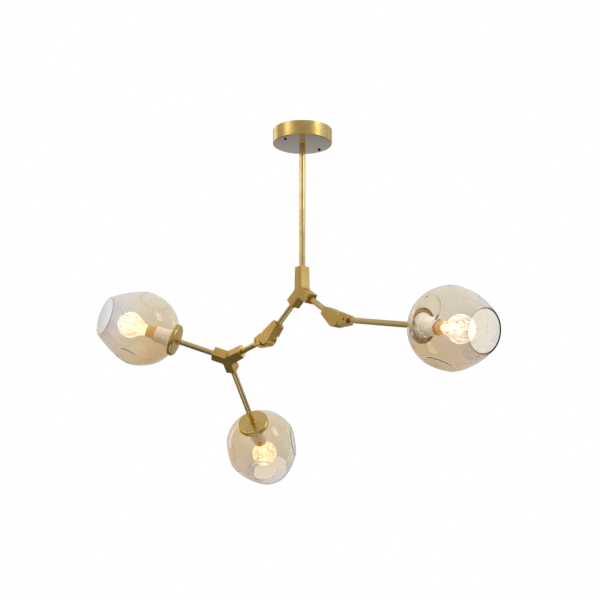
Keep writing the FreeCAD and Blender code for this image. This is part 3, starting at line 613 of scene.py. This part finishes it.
def shade_mesh(s, name, matrix):
    """Blown shade: outer and inner skins with pressed dimples and a fire-rounded mouth."""
    lip_steps, lip_fullness, segments = 8, 0.9, 288
    outline = shade_outline(s)
    inner = []
    for i, p in enumerate(outline):
        a, b = Vector(outline[max(i - 1, 0)]), Vector(outline[min(i + 1, len(outline) - 1)])
        run = (b - a).normalized()
        inner.append((p[0] - run.y * s.shade_wall, p[1] + run.x * s.shade_wall))
    inner[0] = (NECK_RADIUS, inner[0][1])
    lip_out, lip_in = Vector(outline[-1]), Vector(inner[-1])
    middle, half = (lip_out + lip_in) / 2, (lip_in - lip_out) / 2
    beyond = Vector((half.y, -half.x)) * lip_fullness
    if beyond.y < 0:
        beyond = -beyond
    middle.y -= beyond.y
    rim = [middle - half * math.cos(t) + beyond * math.sin(t)
           for t in (math.pi * k / lip_steps for k in range(lip_steps + 1))]
    crest = lip_steps // 2 + 1
    outline, inner = outline[:-1], inner[:-1]
    outer_points, _ = lathe(outline + [tuple(p) for p in rim[:crest]], segments)
    inner_points, _ = lathe([tuple(p) for p in rim[crest:]] + inner[::-1], segments)
    outside, inside = press(outer_points, s, 0.0), press(inner_points, s, s.shade_wall)
    rings = len(outline) + len(rim) + len(inner)
    faces = []
    for j in range(rings):
        k = (j + 1) % rings
        for i in range(segments):
            n = (i + 1) % segments
            faces.append([j * segments + i, j * segments + n, k * segments + n, k * segments + i])
    piece = make_object(name, outside[0] + inside[0], faces, matrix, sharp=60.0)
    # Which way is up for each point, for the painted light above and painted shade below on the glass
    up = matrix.to_3x3().inverted() @ UP
    sky = [up.dot(Vector((p[0], p[1], 0)).normalized()) for p in outside[0] + inside[0]]
    piece.data.attributes.new("sky", "FLOAT", "POINT").data.foreach_set("value", sky)
    piece.data.attributes.new("depth", "FLOAT", "POINT").data.foreach_set("value", outside[1] + inside[1])
    return piece


def bulb_profile(s, offset):
    """Profile of the bulb's glass from its neck to its tip, moved inward."""
    neck_step, meet_angle, pull_share, neck_share = 1.4, 30.0, 0.35, 0.8
    radius = s.bulb_diameter / 2 - offset
    centre = s.bulb_tip_at - s.bulb_diameter / 2
    neck = BULB_BASE_RADIUS - neck_step - offset
    meet = math.radians(meet_angle)
    shoulder = Vector((radius * math.cos(meet), centre - radius * math.sin(meet)))
    lean = Vector((-math.sin(meet), -math.cos(meet)))
    pull = (centre - BULB_BASE_TO) * pull_share
    p0, p1 = Vector((neck, BULB_BASE_TO)), Vector((neck, BULB_BASE_TO + pull * neck_share))
    p2, p3 = shoulder + lean * pull, shoulder
    flank_steps, globe_steps = 16, 30
    points = []
    for k in range(flank_steps):
        t = k / flank_steps
        u = 1 - t
        points.append(tuple(p0 * u ** 3 + p1 * 3 * t * u ** 2 + p2 * 3 * t * t * u + p3 * t ** 3))
    for k in range(globe_steps):
        a = -meet + (math.pi / 2 + meet) * k / globe_steps
        points.append((radius * math.cos(a), centre + radius * math.sin(a)))
    return points + [(0.0, centre + radius)]


def filament_mesh(name, matrix):
    """Glass stem with four upright phosphor sticks between two spiders."""
    parts, all_faces = [], []

    def add(points, faces, shift=(0, 0, 0), turn=0.0):
        base = len(parts)
        move = Matrix.Rotation(turn, 3, "Z")
        parts.extend(tuple(move @ (Vector(p) + Vector(shift))) for p in points)
        all_faces.extend([[base + i for i in f] for f in faces])

    # Glass stem: radii and heights of its flare, shoulder and tip
    low, flare_top, shoulder_at, tip_at = BULB_BASE_TO, BULB_BASE_TO + 6.0, 78.0, 110.0
    foot, flare, shoulder, tip = 7.0, 4.0, 2.2, 1.2
    stem = (
        (0, low), (foot, low), (flare, flare_top), (shoulder, shoulder_at), (tip, tip_at), (0, tip_at))
    add(*lathe(rounded(stem, 0.8), 24))
    # Sticks round it, and the wires of the two spiders that hold their ends
    sticks, circle, thick, stick_length, overlap = 4, 7.0, 0.9, 30.0, 0.5
    wire_thick, wire_from, wire_below, wire_above = 0.25, 1.0, 0.1, 0.4
    start = shoulder_at - overlap
    end = start + stick_length
    stick = lathe(rounded(((0, start), (thick, start), (thick, end), (0, end)), 0.4), 12)
    wire = lathe([(wire_thick, wire_from), (wire_thick, circle), (0, circle), (0, wire_from)], 8)
    for i in range(sticks):
        add(*stick, shift=(circle, 0, 0), turn=2 * math.pi * i / sticks)
    for height in (start - wire_below, end + wire_above):
        lying = [(p[2], p[0], p[1] + height) for p in wire[0]]
        for i in range(sticks):
            add(lying, wire[1], turn=2 * math.pi * i / sticks)
    return make_object(name, parts, all_faces, matrix)


# ------------------------------ operators
class CHANDELIER_OT_rods(bpy.types.Operator):
    """Replace the rods with smooth drawn tubes"""
    bl_idname = "chandelier.rods"
    bl_label = "Rods"

    def execute(self, context):
        s = context.scene.chandelier_rods
        layout = Layout()
        for name, body, origin, axis, start, end in layout.rods():
            self.tube(name, body, placement(origin, axis, axis.cross(UP)), start, end, s.arm_rod, s.bore)
        top, end = -layout.canopy_height - FACE_GAP, layout.upper_hub.z + layout.hub_stem - layout.socket
        self.tube("down_rod", "stem", Matrix.Identity(4), end, top, s.down_rod, s.down_bore)
        return {"FINISHED"}

    def tube(self, name, body, matrix, start, end, outer, bore):
        corners = ((bore / 2, start), (outer / 2, start), (outer / 2, end), (bore / 2, end))
        piece = turned(name + "_tube", corners, matrix, 0.5, 64)
        dress(piece, "rod", "satin_gold_rod", body, name)


class CHANDELIER_OT_castings(bpy.types.Operator):
    """Dress the hubs, knuckles and their small screws"""
    bl_idname = "chandelier.castings"
    bl_label = "Castings"

    def execute(self, context):
        for name in ("upper_hub", "lower_hub", "knuckle_a_inner", "knuckle_a_outer",
                     "knuckle_b_inner", "knuckle_b_outer"):
            dress_node(name, "casting")
        for name in ("knuckle_a_set_screw", "knuckle_b_set_screw"):
            dress_node(name, "dark_steel")
        for name in ("knuckle_a_pin", "knuckle_b_pin"):
            dress_node(name, "steel")
        return {"FINISHED"}


class CHANDELIER_OT_canopy(bpy.types.Operator):
    """Build the canopy's spun cup and dress what it hides"""
    bl_idname = "chandelier.canopy"
    bl_label = "Canopy"

    def execute(self, context):
        outer, wall, edge, bevel, nipple_hole = 57.5, 1.2, 1.6, 0.3, 5.05
        height = Layout.canopy_height
        profile = [(nipple_hole, -height), (outer - edge, -height)]
        profile += [(outer - edge + edge * math.sin(a), -height + edge - edge * math.cos(a))
                    for a in quarter_turn()]
        profile += [(outer, -bevel), (outer - bevel, 0), (outer - wall, 0), (outer - wall, -height + wall),
                    (nipple_hole, -height + wall)]
        piece = spun("canopy_cup", profile, Matrix.Identity(4), 160)
        dress(piece, "canopy", "canopy_gold", "ceiling_set", "canopy")
        self.cap_nuts()
        for name in ("ceiling_bracket", "canopy_studs", "swivel_nipple", "nipple_washer", "nipple_lock_nut"):
            dress_node(name, "steel")
        dress_node("terminal_block", "terminal")
        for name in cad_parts:
            if name.endswith("_lead"):
                dress_node(name, "wire")
        return {"FINISHED"}

    def cap_nuts(self):
        azimuth, spacing = 43.0, 91.0
        bore, depth, radius, crown, side, height = 1.56, 1.3, 2.8, 1.8, 1.4, 2.4
        face = -Layout.canopy_height
        corners = (
            (bore, face), (radius, face), (radius, face - side), (crown, face - height), (0, face - height),
            (0, face - depth), (bore, face - depth))
        for i, sign in enumerate((1, -1)):
            matrix = Matrix.Translation(direction(azimuth, 0) * (sign * spacing / 2 * MM))
            piece = turned("canopy_cap_nut_%d" % (i + 1), corners, matrix, 0.7, 32)
            dress(piece, "dark_steel", "dark_steel", "ceiling_set")
            if i == 0:
                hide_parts("canopy_cap_nuts")


class CHANDELIER_OT_shades(bpy.types.Operator):
    """Blow the glass shades, with their pressed dimples"""
    bl_idname = "chandelier.shades"
    bl_label = "Glass shades"

    def execute(self, context):
        s = context.scene.chandelier_lamp
        for name, body, matrix, turn in Layout().lamps():
            rolled = matrix @ Matrix.Rotation(math.radians(turn), 4, "Z")
            piece = shade_mesh(s, name + "_shade", rolled)
            dress(piece, "shade", "shade_glass", body, name + "_glass_shade")
        return {"FINISHED"}


class CHANDELIER_OT_sockets(bpy.types.Operator):
    """Build the caps, nuts, lampholders, collars and rings"""
    bl_idname = "chandelier.sockets"
    bl_label = "Caps and lampholders"

    def execute(self, context):
        s = context.scene.chandelier_lamp
        for name, body, matrix, _ in Layout().lamps():
            self.nut(name, body, matrix)
            self.cap(s, name, body, matrix)
            self.holder(s, name, body, matrix)
            self.ring(s, name, body, matrix)
        return {"FINISHED"}

    def nut(self, name, body, matrix):
        radius, thick, bevel = 7.0, 2.6, 0.8
        corners = (
            (ROD_HOLE, -thick), (radius - bevel, -thick), (radius, bevel - thick), (radius, 0), (ROD_HOLE, 0))
        piece = turned(name + "_nut", corners, matrix, 0.3, 64)
        dress(piece, "casting", "satin_gold_casting", body, name + "_lamp_nut")

    def holder(self, s, name, body, matrix):
        flange, seat, barrel, bore, bevel, cone = 19.0, 18.0, 16.5, 14.5, 0.8, 1.0
        foot, floor, step, end = 1.2, 23.5, 24.0, 47.0
        back = shade_back(s, NECK_RADIUS) - SEAT_GAP
        corners = (
            (ROD_HOLE, foot), (flange, foot), (flange, back - cone), (seat, back), (seat, step),
            (barrel, step + cone), (barrel, end - bevel), (barrel - bevel, end), (bore, end), (bore, floor),
            (ROD_HOLE, floor))
        holder = turned(name + "_holder", corners, matrix, 0.6)
        dress(holder, "holder", "holder_shell", body, name + "_lampholder")
        inner, outer, start, end = 13.5, 14.4, 27.0, 50.0
        corners = ((inner, start), (outer, start), (outer, end), (inner, end))
        collar = turned(name + "_collar", corners, matrix, 0.3)
        dress(collar, "collar", "holder_collar", body, name + "_holder_collar")

    def ring(self, s, name, body, matrix):
        inner, outer, crown, skirt, height = 18.1, 23.0, 19.3, 3.0, 9.0
        slope_share = 0.9        # the ring leans a little less than the glass it clamps
        start = shade_back(s, outer) + s.shade_wall + SEAT_GAP
        lean = (shade_back(s, outer) - shade_back(s, inner)) * slope_share
        corners = (
            (inner, start - lean), (outer, start), (outer, start + skirt), (crown, start + height),
            (inner, start + height))
        ring = turned(name + "_ring", corners, matrix, 0.8)
        dress(ring, "holder", "shade_ring", body, name + "_shade_ring")

    def cap(self, s, name, body, matrix):
        outer, wall, edge, bevel = s.cap_diameter / 2, 1.2, 5.0, 0.25
        profile = [(ROD_HOLE, 0), (outer - edge, 0)]
        arc = quarter_turn()
        profile += [(outer - edge + edge * math.sin(a), edge - edge * math.cos(a)) for a in arc]
        profile += [(outer, s.cap_height - bevel), (outer - bevel, s.cap_height),
                    (outer - wall + bevel, s.cap_height), (outer - wall, s.cap_height - bevel)]
        inner = edge - wall
        profile += [(outer - edge + inner * math.sin(a), edge - inner * math.cos(a)) for a in arc[::-1]]
        profile += [(outer - edge, wall), (ROD_HOLE, wall)]
        piece = spun(name + "_cap", profile, matrix, 128)
        dress(piece, "cap", "cap_gold", body, name + "_lamp_cap")


class CHANDELIER_OT_bulbs(bpy.types.Operator):
    """Build the globe bulbs with their bases and filaments"""
    bl_idname = "chandelier.bulbs"
    bl_label = "Bulbs"

    def execute(self, context):
        s, glass_wall = context.scene.chandelier_lamp, 0.9
        for name, body, matrix, _ in Layout().lamps():
            self.base(name, body, matrix)
            outline = bulb_profile(s, 0.0) + bulb_profile(s, glass_wall)[::-1]
            glass = spun(name + "_bulb", outline, matrix, 96, 60.0)
            dress(glass, "bulb_glass", "bulb_glass", body, name + "_bulb_glass")
            sticks = filament_mesh(name + "_filament_sticks", matrix)
            dress(sticks, "filament", "filament", body, name + "_filament")
        return {"FINISHED"}

    def base(self, name, body, matrix):
        start, end, r = BULB_BASE_FROM, BULB_BASE_TO, BULB_BASE_RADIUS
        depth, turns, pitch, steps, thread_at = 1.2, 5, 3.6, 8, 6.0
        skirt, step, edge, chamfer = 8.0, 0.4, 0.6, 1.0
        # Foot contact and the insulator round it, up to the first ridge of the thread
        contact = [(0, 0), (4.5, 0), (5.0, 1.5), (9.5, 4.0), (r - depth, thread_at - 0.5)]
        profile = [(radius, start + height) for radius, height in contact]
        for k in range(turns * steps + 1):
            wave = 0.5 - 0.5 * math.cos(2 * math.pi * k / steps)
            profile.append((r - depth + depth * wave, start + thread_at + pitch * k / steps))
        profile += [(r - step, end - skirt), (r - step, end - edge), (r - chamfer, end), (0, end)]
        piece = spun(name + "_base", profile, matrix, 96)
        dress(piece, "bulb_base", "bulb_base", body, name + "_bulb_base")


class CHANDELIER_OT_stage(bpy.types.Operator):
    """Set the floor, lights, world and camera"""
    bl_idname = "chandelier.stage"
    bl_label = "Stage"

    def execute(self, context):
        s = context.scene.chandelier_stage
        self.floor()
        self.world(context.scene)
        # Name, watts, width and height, and place in metres
        for name, power, size, where in (
                ("key", s.key_power, (0.8, 1.5), (1.92, -1.09, 1.2)),
                ("window", s.window_power, (0.3, 1.5), (-1.92, -1.09, 1.2)),
                ("strip_right", s.strip_power * 0.6, (0.5, 2.2), (2.43, 1.68, 0.1)),
                ("strip_left", s.strip_power, (0.5, 2.0), (-2.2, 1.85, 0.5))):
            self.light(name, power, size, Vector(where))
        self.camera(context.scene, s.lens)
        context.scene.view_settings.view_transform = "Standard"
        return {"FINISHED"}

    def floor(self):
        radius, level, sides = 1.35, -2.4, 96
        turns = [2 * math.pi * i / sides for i in range(sides)]
        mesh = bpy.data.meshes.new("floor")
        rim = [(radius * math.cos(a), radius * math.sin(a), level) for a in turns]
        mesh.from_pydata(rim, [], [range(sides)])
        floor = add_object("floor", mesh)
        # Pale painted board, matt, far below the lamp
        floor.data.materials.append(plain("board_painted_pale", "#F2F1EF", "#ECEBE9", 0.0, (0.6, 0.7), 60.0))

    def light(self, name, power, size, where):
        data = bpy.data.lights.new(name, "AREA")
        data.shape, data.size, data.size_y, data.energy = "RECTANGLE", size[0], size[1], power
        lamp = add_object(name, data)
        target = Vector((0.0, 0.0, -0.35))
        aim = (target - where).to_track_quat("-Z", "Y").to_matrix().to_4x4()
        lamp.matrix_world = Matrix.Translation(where) @ aim

    def world(self, scene):
        world = bpy.data.worlds.new("studio")
        world.use_nodes = True
        tree = world.node_tree
        tree.nodes.clear()
        way = node(tree, "ShaderNodeTexCoord").outputs["Generated"]
        height = node(tree, "ShaderNodeSeparateXYZ", {"Vector": way})
        level = node(tree, "ShaderNodeMapRange", {"Value": height.outputs["Z"], "From Min": -1.0})
        soft = node(tree, "ShaderNodeValToRGB", {"Fac": level.outputs["Result"]}, [
            (0.0, grey(0.06)), (0.2, grey(0.14)), (0.37, grey(0.36)), (0.6, grey(0.46)), (1.0, grey(0.62))]
        ).outputs["Color"]
        # Soft lights seen only in the metal and on what faces them: direction, inner and outer angle, colour
        for aim, inner, outer, light in (
                ((0.957, -0.18, 0.24), 6.0, 28.0, (0.30, 0.46, 0.95)),
                ((-0.72, 0.66, 0.20), 6.0, 26.0, (0.46, 0.50, 0.56)),
                ((-0.80, -0.55, 0.22), 8.0, 30.0, (0.46, 0.46, 0.46))):
            near = node(tree, "ShaderNodeVectorMath", {0: way, 1: Vector(aim).normalized()},
                        operation="DOT_PRODUCT")
            lobe = node(tree, "ShaderNodeMapRange", {
                "Value": near.outputs["Value"], "From Min": math.cos(math.radians(outer)),
                "From Max": math.cos(math.radians(inner))}, interpolation_type="SMOOTHSTEP")
            soft = node(tree, "ShaderNodeVectorMath", {0: lobe.outputs["Result"], 1: light, 2: soft},
                        operation="MULTIPLY_ADD").outputs["Vector"]
        # Camera and transmission rays see a white background. Metal mirrors the grey studio, because the
        # canopy's polished face is mid grey in the photograph
        rays = node(tree, "ShaderNodeLightPath").outputs
        seen = node(tree, "ShaderNodeMath", {0: rays["Is Camera Ray"], 1: rays["Is Transmission Ray"]},
                    operation="MAXIMUM")
        mix = node(tree, "ShaderNodeMix", {
            "Factor": seen.outputs["Value"], "A": soft, "B": grey(1.0)}, data_type="RGBA")
        back = node(tree, "ShaderNodeBackground", {"Color": mix.outputs["Result"], "Strength": 1.0})
        node(tree, "ShaderNodeOutputWorld", {"Surface": back.outputs["Background"]})
        scene.world = world

    def camera(self, scene, lens):
        # The view that was fitted to the photograph: degrees up and over, and its place in millimetres
        tilt, lean, spot_mm = 14.775, 0.14, (-2.4, -3141.0, -1170.6)
        data = bpy.data.cameras.new("camera")
        data.lens, data.sensor_width = lens, 36.0
        data.clip_start, data.clip_end = 0.1, 30.0
        data.shift_x, data.shift_y = -0.0013, -0.0008
        pitch, roll = math.radians(tilt), math.radians(lean)
        forward = Vector((0, math.cos(pitch), math.sin(pitch)))
        right, up = Vector((1, 0, 0)), Vector((0, -math.sin(pitch), math.cos(pitch)))
        cosine, sine = math.cos(roll), math.sin(roll)
        right, up = right * cosine + up * sine, up * cosine - right * sine
        camera = add_object("camera", data)
        spot = Vector(spot_mm) * MM
        camera.matrix_world = Matrix((
            (right.x, up.x, -forward.x, spot.x), (right.y, up.y, -forward.y, spot.y),
            (right.z, up.z, -forward.z, spot.z), (0, 0, 0, 1)))
        scene.camera = camera


class CHANDELIER_PT_panel(bpy.types.Panel):
    """Buttons that build the chandelier's pieces"""
    bl_idname = "CHANDELIER_PT_panel"
    bl_label = "Branch Chandelier"
    bl_space_type = "VIEW_3D"
    bl_region_type = "UI"
    bl_category = "Chandelier"

    def draw(self, context):
        for name in SETTINGS:
            group = getattr(context.scene, name)
            box = self.layout.box()
            for key in group.__annotations__:
                box.prop(group, key)
        for operator in OPERATORS:
            self.layout.operator(operator.bl_idname)


OPERATORS = (
    CHANDELIER_OT_rods,
    CHANDELIER_OT_castings,
    CHANDELIER_OT_canopy,
    CHANDELIER_OT_sockets,
    CHANDELIER_OT_bulbs,
    CHANDELIER_OT_shades,
    CHANDELIER_OT_stage,
)
SETTINGS = {
    "chandelier_lamp": ChandelierLampSettings,
    "chandelier_rods": ChandelierRodSettings,
    "chandelier_finish": ChandelierFinishSettings,
    "chandelier_stage": ChandelierStageSettings,
}
CLASSES = (*SETTINGS.values(), *OPERATORS, CHANDELIER_PT_panel)


def register():
    """Register the settings, operators and panel."""
    for cls in CLASSES:
        bpy.utils.register_class(cls)
    for name, group in SETTINGS.items():
        setattr(bpy.types.Scene, name, PointerProperty(type=group))


def unregister():
    """Take them away again."""
    for name in reversed(SETTINGS):
        delattr(bpy.types.Scene, name)
    for cls in reversed(CLASSES):
        bpy.utils.unregister_class(cls)


def main():
    """Build every piece in order."""
    register()
    for operator in OPERATORS:
        group, name = operator.bl_idname.split(".")
        getattr(getattr(bpy.ops, group), name)()


if __name__ == "__main__":
    main()
